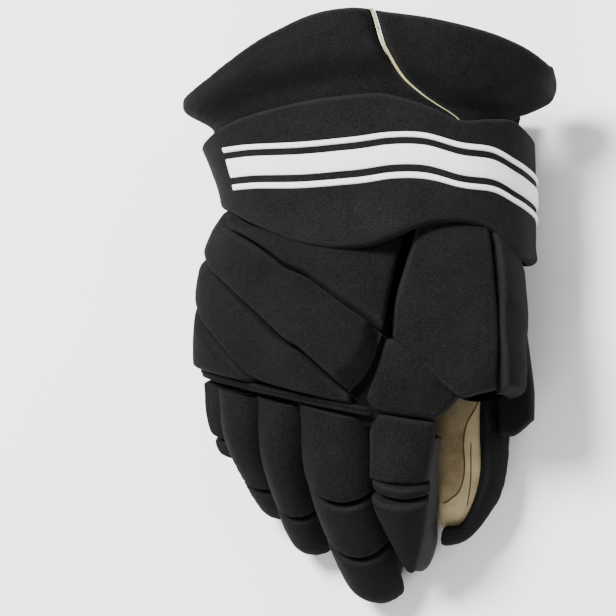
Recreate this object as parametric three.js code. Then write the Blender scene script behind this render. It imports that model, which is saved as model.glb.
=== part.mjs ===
import * as THREE from "three";

// An ice hockey glove for the right hand, lying palm down on the plane z = 0.
// The cuff points to +Y, the fingers to -Y and the thumb to +X. Lengths are millimetres, angles are degrees.
// Every piece lies on one of a few tubes. A place on a tube has a share of its length, "at", and an angle
// round its section, which is 0 on the back of the hand and grows towards the thumb.

const HAND_LENGTH = 124; // wrist to knuckles
const HAND_WIDTH = 124; // across the knuckles, inside the pads
const HAND_HEIGHT = 90; // back of the hand above the plane it lies on
const CUFF_LENGTH = 94; // wrist to the end of the cuff
const CUFF_OVERLAP = 48; // reach of the wrist over the hand
const CUFF_WIDTH = 200; // inside the cuff's mouth
const CUFF_HEIGHT = 110; // inside the cuff's mouth
const THUMB_BASE_LENGTH = 116; // wrist to the thumb's last joint
const THUMB_WIDTH = 45; // thumb beside the hand
const THUMB_TIP_LENGTH = 84; // last joint to the thumb's tip
const FINGER_REACH = 86; // middle finger in front of the knuckles
const TIP_HEIGHT = -1; // middle of a fingertip's end, which lies flattened on the plane
const FINGER_RISE = 20; // half the height of a finger stall at the knuckles

const CLOTH = 2; // shells of cloth
const LEATHER = 1.8; // palm and stalls
const BACK_PAD = 14; // foam pads on the back of the hand
const FINGER_PAD = 9; // foam pads on the fingers
const THUMB_PAD = 12; // foam pads on the thumb
const RIM_PAD = 7; // pad round the thumb's tip
const LOBE_PAD = 17; // pad on the thumb's outer side
const SIDE_PAD = 20; // column of padding on the little finger's outer side
const CUFF_PAD = 13; // foam in the cuff's upper panels
const CUFF_PALM_PAD = 5; // foam in the cuff's palm panel
const CUFF_HEM = 3; // cuff panels where the band covers them
const BAND = 7; // wrist band
const WELT_RADIUS = 2.4; // cord in the knuckle seam
const TRIM = 2.4; // trim in the seam of the cuff
const GAP = 0.3; // between pieces that touch
const PAD_GAP = 0.8; // under a pad, where flat facets lie on a round shell
const BAND_CLEAR = 3.6; // the first back pad starts this far in front of the band
const ROLL = 0.22; // share of a pad's side over which its edge rolls down
const EDGE = 0.3; // thickness left at a pad's rolled edge, as a share

const { degToRad, clamp, lerp, smoothstep } = THREE.MathUtils;

// The value of one named column of a table at a place between its rows, on a smooth curve through them.
function column(rows, name, at) {
  const last = rows.length - 1;
  const found = rows.findIndex((row) => row.at >= at);
  const i = clamp((found < 0 ? last : found) - 1, 0, last - 1);
  const slope = (k) => {
    const before = rows[Math.max(k - 1, 0)];
    const after = rows[Math.min(k + 1, last)];
    return (after[name] - before[name]) / (after.at - before.at);
  };
  const [a, b] = [rows[i], rows[i + 1]];
  const step = b.at - a.at;
  const t = (at - a.at) / step;
  const bend = t * (1 - t) * step;
  return (
    a[name] * (1 + 2 * t) * (1 - t) ** 2 +
    b[name] * (3 - 2 * t) * t ** 2 +
    bend * (slope(i) * (1 - t) - slope(i + 1) * t)
  );
}

// A tube: rows of sections, their sizes, and the point that the shares are counted from.
// half and rise are half the width and height of a section, skew and lean turn it in plan and in elevation.
function tube({ rows, start, size, power = 0.75, spread = 1, domeFrom = 2 }) {
  const value = (name, at) => column(rows, name, at) * (size[name] ?? 1);
  const centre = (at) =>
    new THREE.Vector3(value("x", at), value("y", at), value("z", at)).add(start);
  const station = (at) => {
    const along = centre(at + 0.01).sub(centre(at - 0.01));
    along.multiplyScalar(-Math.sign(along.y));
    const side = new THREE.Vector3(1, value("skew", at), value("lean", at));
    const up = along.cross(side).normalize();
    const inDome = clamp((at - domeFrom) / (1 - domeFrom), 0, 1);
    const dome = domeFrom < 1 ? Math.sqrt(1 - inDome ** 2) : 1;
    return {
      centre: centre(at),
      side,
      up,
      half: value("half", at) * dome,
      rise: value("rise", at) * dome,
    };
  };
  return { station, power, spread };
}

// The point of a tube's skin at a share and an angle, moved out by off. Nothing goes below the plane z = 0.
function skin(form, at, angle, off = 0) {
  const { centre, side, up, half, rise } = form.station(at);
  const round = (value) => Math.sign(value) * Math.abs(value) ** form.power;
  const wide = round(Math.sin(degToRad(angle)));
  const high = round(Math.cos(degToRad(angle)));
  const lift = form.spread < 1 ? Math.max(high, form.spread) : high;
  const out = new THREE.Vector3()
    .addScaledVector(side, wide * form.spread)
    .addScaledVector(up, lift)
    .normalize();
  const point = centre
    .addScaledVector(side, wide * half)
    .addScaledVector(up, high * rise)
    .addScaledVector(out, off);
  point.z = Math.max(point.z, 0);
  return point;
}

const tableOf = (names, values) =>
  values.map((row) => Object.fromEntries(names.map((name, i) => [name, row[i]])));

const SECTION = ["at", "x", "y", "z", "half", "rise", "skew", "lean"];

// The hand from the wrist to the knuckles. x and half are shares of its width, z and rise of its height.
const hand = tube({
  start: new THREE.Vector3(0, 0, 0),
  size: { x: HAND_WIDTH, y: HAND_LENGTH, z: HAND_HEIGHT, half: HAND_WIDTH, rise: HAND_HEIGHT },
  rows: tableOf(SECTION, [
    [0.0, -0.19, 0.0, 0.535, 0.395, 0.405, 0, 0],
    [0.25, -0.225, -0.25, 0.54, 0.44, 0.36, 0, 0],
    [0.5, -0.255, -0.5, 0.62, 0.452, 0.36, -0.1, 0.03],
    [0.74, -0.25, -0.74, 0.67, 0.462, 0.32, -0.22, 0.06],
    [1.0, -0.225, -1.0, 0.64, 0.505, 0.24, -0.32, 0.08],
  ]),
});

// The wrist and the flared cuff, from the hand's side of the band to the mouth.
const CUFF_SPAN = CUFF_OVERLAP + CUFF_LENGTH;
const cuff = tube({
  start: new THREE.Vector3(0, -CUFF_OVERLAP, 0),
  size: { x: CUFF_WIDTH, y: CUFF_SPAN, z: CUFF_HEIGHT, half: CUFF_WIDTH, rise: CUFF_HEIGHT },
  rows: tableOf(SECTION, [
    [0.0, 0.02, 0.0, 0.44, 0.39, 0.4, 0, 0],
    [0.27, 0.015, 0.27, 0.44, 0.395, 0.41, 0, 0],
    [0.57, -0.01, 0.57, 0.45, 0.425, 0.425, 0, 0],
    [0.79, -0.01, 0.79, 0.485, 0.47, 0.46, 0, 0],
    [1.0, 0.0, 1.0, 0.515, 0.51, 0.49, 0, 0],
  ]),
});

// The thumb's base beside the hand. x is counted from the hand's side, z and rise are shares of the hand's height.
const handEdge = hand.station(1).centre.x + hand.station(1).half;
const THUMB_START = -10;
const thumbBase = tube({
  start: new THREE.Vector3(handEdge, THUMB_START, 0),
  size: {
    x: THUMB_WIDTH,
    y: THUMB_BASE_LENGTH,
    z: HAND_HEIGHT,
    half: THUMB_WIDTH,
    rise: HAND_HEIGHT,
  },
  rows: tableOf(SECTION, [
    [0.0, 0.33, 0.0, 0.53, 0.44, 0.33, 0, -0.1],
    [0.3, 0.35, -0.3, 0.57, 0.52, 0.38, 0, -0.2],
    [0.6, 0.375, -0.6, 0.6, 0.55, 0.4, 0, -0.25],
    [0.76, 0.4, -0.76, 0.65, 0.53, 0.35, 0, -0.25],
    [0.88, 0.57, -0.88, 0.67, 0.4, 0.27, 0, -0.2],
    [1.0, 0.7, -1.0, 0.68, 0.27, 0.2, 0, -0.15],
  ]),
});

// The thumb's closed end, which bends in under the index finger and lies on the plane.
const thumbTip = tube({
  start: new THREE.Vector3(handEdge, THUMB_START - THUMB_BASE_LENGTH * 0.9, 0),
  size: {
    x: THUMB_WIDTH,
    y: THUMB_TIP_LENGTH,
    z: FINGER_RISE,
    half: THUMB_WIDTH,
    rise: FINGER_RISE,
  },
  domeFrom: 0.7,
  rows: tableOf(SECTION, [
    [0.0, 0.2, 0.0, 0.92, 0.42, 0.92, 0, 0],
    [0.3, 0.12, -0.3, 0.88, 0.45, 0.86, 0, 0.1],
    [0.55, 0.14, -0.54, 0.84, 0.41, 0.82, 0, 0.1],
    [0.8, 0.14, -0.78, 0.74, 0.31, 0.75, 0.1, 0.05],
    [1.0, 0.04, -1.0, 0.5, 0.25, 0.66, 0.2, 0],
  ]),
});

// The fingers. from and to are shares of the hand's half width at the knuckles, reach is a share of the
// middle finger's, drift is how far the tip moves towards the thumb, as a share of the hand's width, and
// taper is the width left at the tip.
const FINGERS = tableOf(
  ["name", "from", "to", "reach", "rise", "drift", "taper"],
  [
    ["pinky", -0.85, -0.46, 0.6, 0.86, 0.045, 0.8],
    ["ring", -0.455, -0.09, 0.77, 0.95, 0.005, 0.84],
    ["middle", -0.085, 0.53, 1.0, 1.0, 0.06, 0.66],
    ["index", 0.54, 1.13, 0.73, 0.98, -0.08, 0.42],
  ],
);
const FINGER_SIDE = 0.82; // stall in the width that its finger has
const KNUCKLE_GAP = 2; // hand shell to finger stalls, along the glove

function fingerTube({ from, to, reach, rise, drift, taper }) {
  const knuckles = hand.station(1);
  const start = knuckles.centre
    .clone()
    .addScaledVector(knuckles.side, ((from + to) / 2) * knuckles.half);
  start.y -= KNUCKLE_GAP;
  const half = ((to - from) / 2) * knuckles.half * FINGER_SIDE;
  return tube({
    start,
    size: {
      x: drift * HAND_WIDTH,
      y: reach * FINGER_REACH,
      z: start.z - TIP_HEIGHT,
      half,
      rise: rise * FINGER_RISE,
    },
    power: 0.85,
    spread: 0.25,
    domeFrom: 0.84,
    rows: tableOf(SECTION, [
      [0.0, 0.0, 0.0, 0.0, 1.0, 1.0, -0.32, 0.08],
      [0.25, 0.2, -0.29, -0.06, 1 - 0.06 * (1 - taper), 0.95, -0.25, 0.06],
      [0.5, 0.45, -0.57, -0.32, 1 - 0.3 * (1 - taper), 0.86, -0.22, 0.04],
      [0.75, 0.72, -0.81, -0.63, 1 - 0.65 * (1 - taper), 0.78, -0.19, 0.02],
      [1.0, 1.0, -1.0, -1.0, taper, 0.72, -0.17, 0],
    ]),
  });
}

const finger = Object.fromEntries(FINGERS.map((row) => [row.name, fingerTube(row)]));

const stops = (count) => Array.from({ length: count + 1 }, (_, i) => i / count);
const ROUND_STOPS = [0, 0.07, 0.2, 0.35, 0.5, 0.65, 0.8, 0.93, 1];
const FEW_STOPS = [0, 0.08, 0.3, 0.7, 0.92, 1];

// A closed mesh from points and faces of three or four corners, with its faces turned outwards.
function closedMesh(points, faces) {
  const index = faces.flatMap(([a, b, c, d]) => (d === undefined ? [a, b, c] : [a, b, c, a, c, d]));
  let volume = 0;
  for (let i = 0; i < index.length; i += 3) {
    const [a, b, c] = [points[index[i]], points[index[i + 1]], points[index[i + 2]]];
    volume += a.dot(b.clone().cross(c));
  }
  if (volume < 0) index.reverse();
  const geometry = new THREE.BufferGeometry().setFromPoints(points);
  geometry.setIndex(index);
  geometry.computeVertexNormals();
  return geometry;
}

// A plate between two grids of points, closed along its four sides.
function plate(us, vs, outer, inner) {
  const [wide, long] = [us.length, vs.length];
  const grid = (face) => vs.flatMap((v) => us.map((u) => face(u, v)));
  const points = [...grid(outer), ...grid(inner)];
  const at = (i, j, layer) => layer * wide * long + j * wide + i;
  const faces = [];
  for (let j = 0; j + 1 < long; j++)
    for (let i = 0; i + 1 < wide; i++) {
      faces.push([at(i, j, 0), at(i + 1, j, 0), at(i + 1, j + 1, 0), at(i, j + 1, 0)]);
      faces.push([at(i, j, 1), at(i, j + 1, 1), at(i + 1, j + 1, 1), at(i + 1, j, 1)]);
    }
  for (let i = 0; i + 1 < wide; i++) {
    faces.push([at(i, 0, 0), at(i, 0, 1), at(i + 1, 0, 1), at(i + 1, 0, 0)]);
    faces.push([at(i, long - 1, 0), at(i + 1, long - 1, 0), at(i + 1, long - 1, 1), at(i, long - 1, 1)]);
  }
  for (let j = 0; j + 1 < long; j++) {
    faces.push([at(0, j, 0), at(0, j + 1, 0), at(0, j + 1, 1), at(0, j, 1)]);
    faces.push([at(wide - 1, j, 0), at(wide - 1, j, 1), at(wide - 1, j + 1, 1), at(wide - 1, j + 1, 0)]);
  }
  return closedMesh(points, faces);
}

// A sleeve round a tube from first to last. Its end is open, or closed to a point where the tube has a dome.
function sleeve(form, wall, sides, { first = 0, last = () => 1, rings = 8, closed = false, low = () => 0, inset = 0 }) {
  const angles = Array.from({ length: sides }, (_, i) => (i * 360) / sides);
  const count = closed ? rings : rings + 1;
  const shares = Array.from({ length: count }, (_, j) => j / rings);
  const place = (share, angle) => lerp(Math.max(first, low(angle)), last(angle), share);
  const outside = (share, angle) => skin(form, place(share, angle), angle, -inset);
  const inside = (share, angle) => {
    const at = place(share, angle);
    const { centre, half } = form.station(at);
    const pull = closed ? (form.station(0).half - wall) / form.station(0).half : 1 - (wall + inset) / half;
    const back = form.station(closed ? at * pull : at).centre;
    const point = skin(form, at, angle).sub(centre).multiplyScalar(pull).add(back);
    if (closed) point.z = Math.max(point.z, wall);
    return point;
  };
  const points = [outside, inside].flatMap((face) =>
    shares.flatMap((share) => angles.map((angle) => face(share, angle))),
  );
  const at = (i, j, layer) => layer * sides * count + j * sides + (i % sides);
  const faces = [];
  for (let i = 0; i < sides; i++) {
    for (let j = 0; j + 1 < count; j++) {
      faces.push([at(i, j, 0), at(i, j + 1, 0), at(i + 1, j + 1, 0), at(i + 1, j, 0)]);
      faces.push([at(i, j, 1), at(i + 1, j, 1), at(i + 1, j + 1, 1), at(i, j + 1, 1)]);
    }
    faces.push([at(i, 0, 0), at(i + 1, 0, 0), at(i + 1, 0, 1), at(i, 0, 1)]);
    if (closed) {
      faces.push([at(i, count - 1, 0), points.length, at(i + 1, count - 1, 0)]);
      faces.push([at(i, count - 1, 1), at(i + 1, count - 1, 1), points.length + 1]);
    } else {
      faces.push([at(i, count - 1, 0), at(i, count - 1, 1), at(i + 1, count - 1, 1), at(i + 1, count - 1, 0)]);
    }
  }
  if (closed) points.push(outside(1, 0), inside(1, 0));
  return closedMesh(points, faces);
}

const bevel = (share) => {
  const edge = Math.min(share, 1 - share) / ROLL;
  return Math.sqrt(1 - (1 - Math.min(edge, 1)) ** 2);
};

// A pad with rolled edges between four corners, each a share and an angle, in order round it.
function pad(form, thick, corners, { us = ROUND_STOPS, vs = ROUND_STOPS, top } = {}) {
  const [a, b, c, d] = corners;
  const angle = (u, v) => lerp(lerp(a[1], b[1], u), lerp(d[1], c[1], u), v);
  const first = (u) => (top ? top(angle(u, 0)) : lerp(a[0], b[0], u));
  const at = (u, v) => lerp(first(u), lerp(d[0], c[0], u), v);
  const height = (u, v) => PAD_GAP + thick * (EDGE + (1 - EDGE) * bevel(u) * bevel(v));
  return plate(
    us,
    vs,
    (u, v) => skin(form, at(u, v), angle(u, v), height(u, v)),
    (u, v) => skin(form, at(u, v), angle(u, v), PAD_GAP),
  );
}

// A cord of round section over a tube's skin.
function cord(form, radius, route, off) {
  const path = new THREE.CatmullRomCurve3(route.map(([at, angle]) => skin(form, at, angle, off)));
  const section = new THREE.Shape().absarc(0, 0, radius, 0, 2 * Math.PI);
  return new THREE.ExtrudeGeometry(section, { steps: 20, curveSegments: 3, extrudePath: path });
}

// The band's two edges and the cuff's mouth round the wrist, as shares of the cuff's tube.
const EDGES = tableOf(
  ["at", "low", "high", "mouth"],
  [
    [-126, 0.29, 0.52, 0.66],
    [-85, 0.275, 0.54, 0.73],
    [-62, 0.235, 0.557, 0.76],
    [-35, 0.135, 0.614, 0.84],
    [-14, 0.05, 0.65, 0.935],
    [0, 0.02, 0.67, 0.995],
    [10, 0.05, 0.665, 0.965],
    [22, 0.095, 0.61, 0.935],
    [38, 0.105, 0.525, 0.895],
    [56, 0.075, 0.53, 0.855],
    [72, 0.0, 0.538, 0.82],
    [90, 0.0, 0.51, 0.775],
    [125, 0.04, 0.46, 0.66],
    [180, 0.2, 0.46, 0.62],
    [234, 0.29, 0.52, 0.66],
  ],
);
const edge = (name, angle) => column(EDGES, name, angle > 234 ? angle - 360 : angle);

// The seam between the cuff's two upper panels, by the share of the panels' length.
const SEAM = tableOf(
  ["at", "angle"],
  [
    [0.0, 50],
    [0.3, 48],
    [0.48, 42],
    [0.56, 32],
    [0.63, 24],
    [0.72, 16],
    [0.84, 10],
    [1.0, 6],
  ],
);
// The thumb side's free edge, by the share of the panel's length.
const LOBE = tableOf(
  ["at", "angle"],
  [
    [0.0, 68],
    [0.5, 68],
    [0.62, 78],
    [0.8, 97],
    [1.0, 112],
  ],
);
const seamAngle = (share) => column(SEAM, "angle", share);
const lobeAngle = (share) => column(LOBE, "angle", share);
const CUFF_TUCK = 0.07; // start of the panels behind the band's lower edge
const HIGH_CLEAR = 0.05; // flat strip that stays above the band's upper edge
const SWELL = 0.1; // length over which a panel swells out of the band
const SEAM_HALF = 0.9; // half the angle between the panels at the seam
const TRIM_SHARE = 0.72; // share of it that the trim fills

function cuffPoint(angle, share) {
  return lerp(edge("low", angle) + CUFF_TUCK, edge("mouth", angle), share);
}

const PANEL_STOPS = [0, 0.3, 0.45, 0.54, 0.63, 0.73, 0.84, 0.94, 1];

// A panel of the cuff between two edges, thin behind the band and full above it.
function cuffPanel(thick, left, right, us) {
  const angle = (u, v) => lerp(left(v), right(v), u);
  const height = (u, v) => {
    const at = cuffPoint(angle(u, v), v);
    const swell = smoothstep(at - HIGH_CLEAR, edge("high", angle(u, v)), edge("high", angle(u, v)) + SWELL);
    const rolled = EDGE + (1 - EDGE) * bevel(u) * bevel(Math.max(v, 0.5));
    return GAP + lerp(Math.min(CUFF_HEM, thick), Math.max(thick * rolled, CUFF_HEM), swell);
  };
  return plate(
    us,
    PANEL_STOPS,
    (u, v) => skin(cuff, cuffPoint(angle(u, v), v), angle(u, v), height(u, v)),
    (u, v) => skin(cuff, cuffPoint(angle(u, v), v), angle(u, v), GAP),
  );
}

// The trim that stands in the seam, a little below the panels' round edges.
function cuffTrim() {
  const [inner, outer] = [GAP, GAP + CUFF_PAD * EDGE + TRIM];
  const angle = (u, v) => seamAngle(v) + lerp(-1, 1, u) * SEAM_HALF * TRIM_SHARE;
  const height = (u, v) => {
    const at = cuffPoint(angle(u, v), v);
    const high = edge("high", angle(u, v));
    return lerp(CUFF_HEM, outer, smoothstep(at - HIGH_CLEAR, high, high + SWELL));
  };
  return plate(
    [0, 1],
    PANEL_STOPS,
    (u, v) => skin(cuff, cuffPoint(angle(u, v), v), angle(u, v), height(u, v)),
    (u, v) => skin(cuff, cuffPoint(angle(u, v), v), angle(u, v), inner),
  );
}

function wristBand() {
  const [left, right] = [-120, 120];
  const inner = CUFF_HEM + PAD_GAP;
  const vs = [0, 0.06, 0.22, 0.78, 0.94, 1];
  const place = (u, v) => {
    const angle = lerp(left, right, u);
    return [lerp(edge("low", angle), edge("high", angle), v), angle];
  };
  const height = (u, v) => inner + BAND * (EDGE + (1 - EDGE) * bevel(v));
  return plate(
    stops(24),
    vs,
    (u, v) => skin(cuff, ...place(u, v), height(u, v)),
    (u, v) => skin(cuff, ...place(u, v), inner),
  );
}

// A shell round part of a tube, from its skin inwards.
function shell(form, wall, [from, to], [first, last], across, along) {
  const angle = (u) => lerp(from, to, u);
  return plate(
    stops(across),
    stops(along),
    (u, v) => skin(form, lerp(first, last, v), angle(u)),
    (u, v) => skin(form, lerp(first, last, v), angle(u), -wall),
  );
}

const HAND_SPLIT = 100; // angle at which the back meets the palm
const SPLIT_GAP = 0.4; // angle between them

// Where the band's lower edge crosses the hand's skin at an angle, as a share of the hand's length.
function bandOnHand(angle) {
  const { x } = skin(hand, 0.25, angle);
  const { centre, half } = cuff.station(0.2);
  const wide = clamp((x - centre.x) / half, -1, 1);
  const round = (Math.asin(Math.sign(wide) * Math.abs(wide) ** (1 / cuff.power)) * 180) / Math.PI;
  const y = -CUFF_OVERLAP + edge("low", round) * CUFF_SPAN - BAND_CLEAR;
  const at = -y / HAND_LENGTH;
  return at + (skin(hand, at, angle, BACK_PAD).y - y) / HAND_LENGTH;
}

// Pads on the back of the hand, from their corner at the wrist on the little finger's side, in order round.
// The first pad's edge at the wrist follows the band instead.
const BACK_PADS = {
  back_pad_a: [[0.14, -46], [0.3, 53], [0.69, 46], [0.28, -48]],
  back_pad_b: [[0.09, -92], [0.71, 40], [0.93, 20], [0.24, -92]],
  back_pad_c: [[0.26, -92], [0.945, 14], [0.955, -31], [0.54, -92]],
  back_pad_d: [[0.56, -92], [0.95, -36], [0.955, -60], [0.955, -92]],
};
const INDEX_KNUCKLE = [[0.72, 45], [0.79, 104], [0.96, 96], [0.94, 26]];

// Pads on a finger: their ends as shares of its length, and the angles of their sides.
const FINGER_PADS = tableOf(
  ["name", "finger", "first", "last", "left", "right"],
  [
    ["pinky_pad_1", "pinky", 0.0, 0.6, -58, 64],
    ["pinky_pad_2", "pinky", 0.62, 0.93, -58, 64],
    ["ring_pad_1", "ring", 0.0, 0.6, -66, 66],
    ["ring_pad_2", "ring", 0.62, 0.94, -66, 66],
    ["middle_pad_1", "middle", 0.0, 0.35, -70, 70],
    ["middle_pad_2", "middle", 0.37, 0.64, -70, 70],
    ["middle_pad_3", "middle", 0.66, 0.95, -70, 70],
    ["index_pad_1", "index", 0.0, 0.28, -68, 72],
    ["index_roll", "index", 0.3, 0.35, -62, 66],
    ["index_pad_2", "index", 0.37, 0.94, -66, 66],
  ],
);
const BENT = 0.3; // a finger pad longer than this share follows the finger's bend
const SIDE_PADS = { pinky_side_pad_1: [0.0, 0.37], pinky_side_pad_2: [0.39, 0.52] };

const THUMB_PADS = {
  thumb_top_pad: { thick: THUMB_PAD, spread: 0.6, corners: [[0.28, -48], [0.28, 44], [1.0, 44], [0.82, -76]] },
  thumb_side_pad: { thick: THUMB_PAD, spread: 1, corners: [[0.33, 49], [0.46, 96], [0.98, 96], [0.98, 49]] },
  thumb_outer_lobe: { thick: LOBE_PAD, spread: 1, corners: [[0.62, 101], [0.62, 146], [0.99, 150], [0.99, 101]] },
};

const BLACK = 0x232324;
const finish = {
  cloth: { color: BLACK, roughness: 0.9, metalness: 0 },
  band: { color: 0x2d2e31, roughness: 0.85, metalness: 0 },
  leather: { color: 0x1e1e1f, roughness: 0.6, metalness: 0 },
  cream: { color: 0xa99a70, roughness: 0.7, metalness: 0 },
  trim: { color: 0xd9d7ae, roughness: 0.8, metalness: 0 },
};

const glove = new THREE.Group();

function add(name, geometry, look) {
  const mesh = new THREE.Mesh(geometry, new THREE.MeshStandardMaterial(finish[look]));
  mesh.name = name;
  glove.add(mesh);
}

add("hand_back", shell(hand, CLOTH, [-HAND_SPLIT, HAND_SPLIT], [0, 1], 20, 7), "cloth");
add(
  "palm",
  shell(hand, LEATHER, [HAND_SPLIT + SPLIT_GAP, 360 - HAND_SPLIT - SPLIT_GAP], [0, 1], 12, 7),
  "leather",
);
const WIDE_STOPS = [0, 0.05, 0.13, 0.22, 0.32, 0.44, 0.56, 0.68, 0.78, 0.87, 0.95, 1];
for (const [name, corners] of Object.entries(BACK_PADS)) {
  const top = name === "back_pad_a" ? bandOnHand : undefined;
  add(name, pad(hand, BACK_PAD, corners, { us: WIDE_STOPS, vs: FEW_STOPS, top }), "cloth");
}
add("index_knuckle_pad", pad(hand, BACK_PAD, INDEX_KNUCKLE, { vs: FEW_STOPS }), "cloth");

const WELT_AT = 0.985;
add(
  "knuckle_welt",
  cord(hand, WELT_RADIUS, [-94, -70, -45, -20, 0, 16, 30].map((angle) => [WELT_AT, angle]), WELT_RADIUS + PAD_GAP),
  "cloth",
);

for (const { name } of FINGERS)
  add(`${name}_stall`, sleeve(finger[name], LEATHER, 12, { rings: 9, closed: true }), "leather");
for (const { name, finger: on, first, last, left, right } of FINGER_PADS) {
  const corners = [[first, left], [first, right], [last, right], [last, left]];
  const thick = name === "index_roll" ? FINGER_PAD * 0.5 : FINGER_PAD;
  const vs = last - first > BENT ? ROUND_STOPS : FEW_STOPS;
  add(name, pad(finger[on], thick, corners, { vs }), "cloth");
}
for (const [name, [first, last]] of Object.entries(SIDE_PADS)) {
  const corners = [[first, -118], [first, -68], [last, -68], [last, -118]];
  add(name, pad({ ...finger.pinky, spread: 1 }, SIDE_PAD, corners, { vs: FEW_STOPS }), "cloth");
}

add("thumb_base", sleeve(thumbBase, CLOTH, 16, { rings: 7 }), "cloth");
add("thumb_stall", sleeve(thumbTip, LEATHER, 14, { rings: 8, closed: true }), "cream");
for (const [name, { corners, thick, spread }] of Object.entries(THUMB_PADS))
  add(name, pad({ ...thumbBase, spread }, thick, corners), "cloth");
add("thumb_rim_pad", pad(thumbTip, RIM_PAD, [[0.02, 46], [0.02, 104], [0.96, 118], [0.96, 30]]), "cloth");

add(
  "wrist_shell",
  sleeve(cuff, CLOTH, 24, {
    rings: 3,
    low: (angle) => edge("low", angle) + CUFF_TUCK,
    last: () => 0.45,
    inset: PAD_GAP,
  }),
  "cloth",
);
add("wrist_band", wristBand(), "band");
add("cuff_back", cuffPanel(CUFF_PAD, () => -126, (v) => seamAngle(v) - SEAM_HALF, stops(14)), "cloth");
add("cuff_thumb", cuffPanel(CUFF_PAD, (v) => seamAngle(v) + SEAM_HALF, lobeAngle, stops(10)), "cloth");
add("cuff_seam_trim", cuffTrim(), "trim");
add("cuff_palm", cuffPanel(CUFF_PALM_PAD, () => 121, () => 233.5, stops(10)), "cloth");

const box = new THREE.Box3().setFromObject(glove);
const middle = box.getCenter(new THREE.Vector3());
glove.position.set(-middle.x, -middle.y, -box.min.z);

export default glove;
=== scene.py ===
# %% [markdown]
# # An ice hockey glove
#
# The object is a padded glove for the right hand, lying palm down. On the real glove thin shells of leather and cloth
# are sewn to the hand's shape, and foam pads in black woven nylon are sewn on top of them, with tight grooves between.
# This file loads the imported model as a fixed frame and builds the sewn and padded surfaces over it.

import bmesh
import bpy
import numpy as np
from mathutils import Matrix, Vector


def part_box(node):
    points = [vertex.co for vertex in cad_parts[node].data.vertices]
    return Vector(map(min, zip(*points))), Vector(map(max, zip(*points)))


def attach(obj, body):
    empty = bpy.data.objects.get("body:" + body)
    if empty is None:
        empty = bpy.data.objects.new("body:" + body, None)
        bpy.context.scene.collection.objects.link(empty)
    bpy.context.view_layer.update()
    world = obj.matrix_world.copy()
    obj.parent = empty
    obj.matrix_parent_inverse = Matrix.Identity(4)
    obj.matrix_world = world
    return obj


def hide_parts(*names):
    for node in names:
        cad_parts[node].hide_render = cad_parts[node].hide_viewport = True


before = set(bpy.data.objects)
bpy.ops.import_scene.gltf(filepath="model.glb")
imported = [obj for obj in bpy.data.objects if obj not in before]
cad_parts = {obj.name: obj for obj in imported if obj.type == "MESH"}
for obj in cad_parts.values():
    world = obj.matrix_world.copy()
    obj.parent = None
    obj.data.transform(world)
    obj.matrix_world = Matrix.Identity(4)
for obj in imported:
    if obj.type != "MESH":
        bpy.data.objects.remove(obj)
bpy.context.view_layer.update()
MM = 0.001
print("frame:", len(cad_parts), "nodes")

# %% [markdown]
# ## The tubes that everything lies on
#
# A glove is hard to model piece by piece in space, because every pad bends round the hand. It could be sculpted, or
# carved from blocks. Here each piece lies on one of a few bent tubes instead: the hand, the cuff, the thumb and the
# fingers. A place on a tube has a share of its length and an angle round its section, 0 on the back of the hand and
# growing towards the thumb. The tables are the same ones that the solids are made from, in millimetres.


# %% A smooth curve through the rows of a table
def through(stops, values, at):
    """Between two rows a cubic, whose slope at a row is that of the line through the rows beside it."""
    stops, values = np.asarray(stops, float), np.asarray(values, float)
    order = np.arange(len(stops))
    before, after = np.maximum(order - 1, 0), np.minimum(order + 1, len(stops) - 1)
    slope = (values[after] - values[before]) / (stops[after] - stops[before])[:, None]
    at = np.asarray(at, float)
    i = np.clip(np.searchsorted(stops, at) - 1, 0, len(stops) - 2)
    step = (stops[i + 1] - stops[i])[..., None]
    t = (at[..., None] - stops[i][..., None]) / step
    return (
        values[i] * (1 + 2 * t) * (1 - t) ** 2
        + values[i + 1] * (3 - 2 * t) * t**2
        + t * (1 - t) * step * (slope[i] * (1 - t) - slope[i + 1] * t)
    )


def unit(vectors):
    return vectors / np.linalg.norm(vectors, axis=-1, keepdims=True)


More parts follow.
